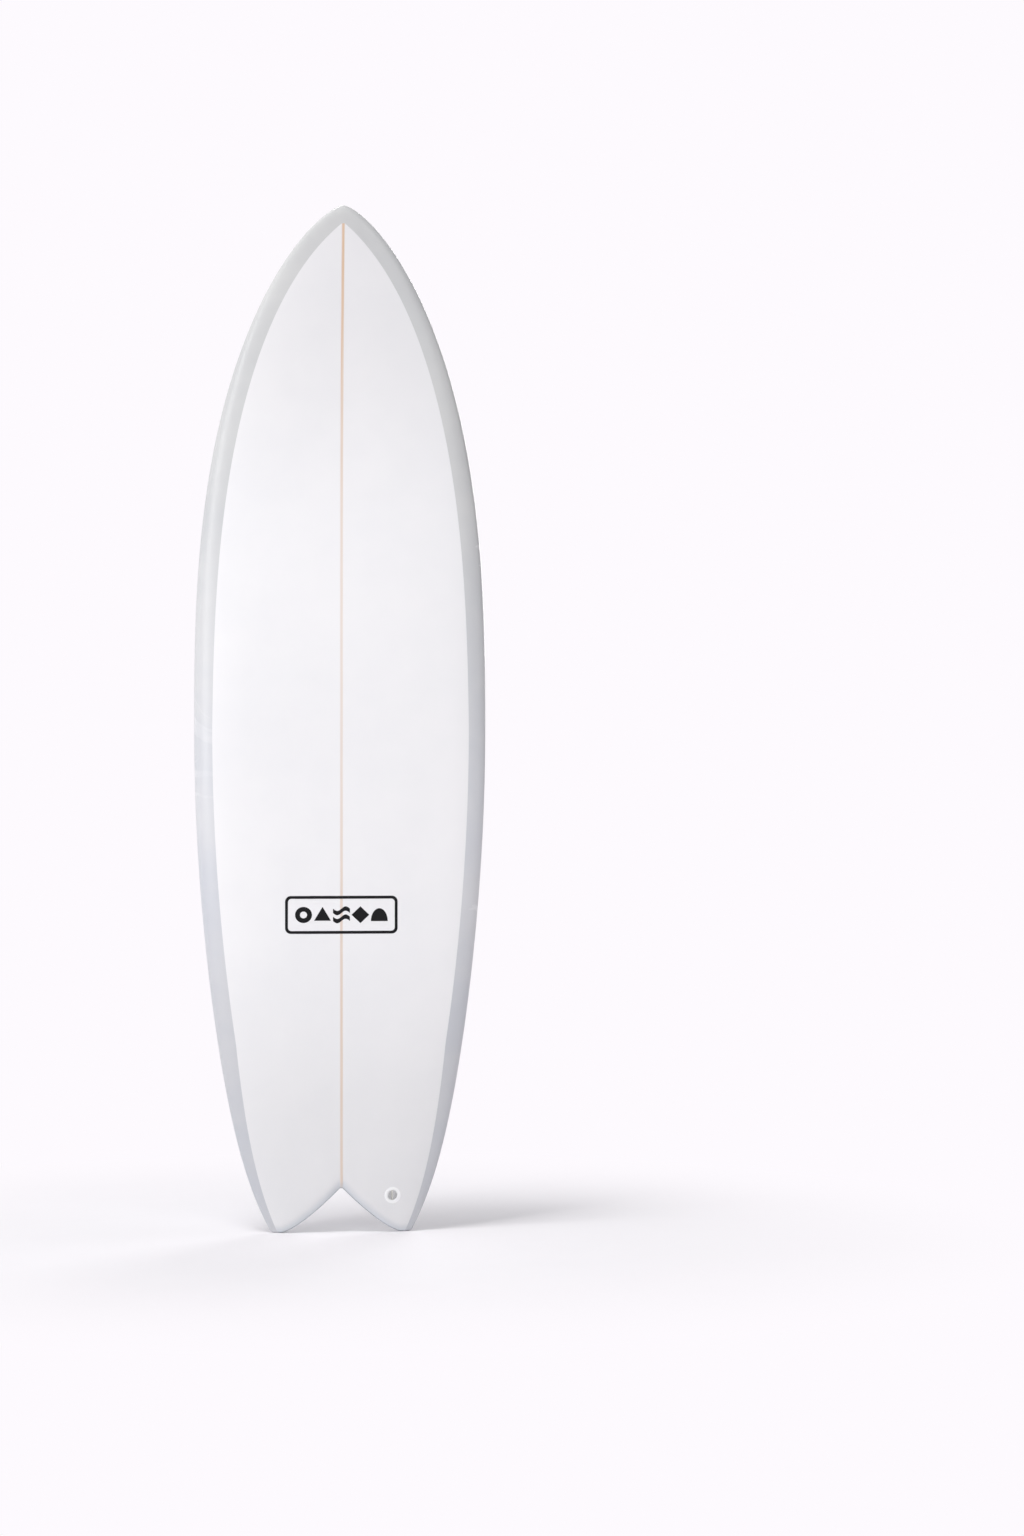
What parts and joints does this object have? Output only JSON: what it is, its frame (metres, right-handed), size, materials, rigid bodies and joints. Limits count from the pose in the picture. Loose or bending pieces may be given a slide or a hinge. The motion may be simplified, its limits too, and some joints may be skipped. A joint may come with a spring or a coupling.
{
  "type": "surfboard",
  "caption": "Fish-outline surfboard with a swallow tail: glassed foam blank with a wooden stringer, slotted fin boxes with grub screws and a leash plug.",
  "frame": {"origin": "on the surface that the tail tips stand on, in the middle of the board's box across its width and its depth", "axes": "+Z from tail to nose, the deck faces -Y, the bottom with the fin boxes faces +Y, +X to starboard"},
  "size_m": [0.51, 0.126, 1.7776],
  "materials": {
    "blank_foam": "fine closed-cell foam",
    "stringer_wood": "pale basswood under resin",
    "clear_glass": "polished clear resin over white foam",
    "tinted_glass": "polished grey resin tint with white swirls",
    "box_plastic": "sanded white plastic",
    "set_resin": "milky set resin",
    "screw_steel": "dark machined steel",
    "plug_plastic": "white moulded plastic",
    "bar_steel": "drawn stainless bar"
  },
  "bodies": {
    "board": {"foam_core_port": "blank_foam", "foam_core_starboard": "blank_foam", "stringer": "stringer_wood", "deck_laminate": "clear_glass", "bottom_laminate": "tinted_glass", "port_fin_box": "box_plastic", "starboard_fin_box": "box_plastic", "port_box_resin_bed": "set_resin", "starboard_box_resin_bed": "set_resin", "leash_plug_cup": "plug_plastic", "leash_plug_bar": "bar_steel", "leash_plug_resin_bed": "set_resin"},
    "port_screw": {"port_grub_screw": "screw_steel"},
    "starboard_screw": {"starboard_grub_screw": "screw_steel"}
  },
  "joints": [
    {"name": "port_screw_travel", "type": "slide", "parent": "board", "child": "port_screw", "axis": [0, -0.8985, -0.439], "range_m": [0, 0.004]},
    {"name": "starboard_screw_travel", "type": "slide", "parent": "board", "child": "starboard_screw", "axis": [0, -0.8985, -0.439], "range_m": [0, 0.004]}
  ]
}
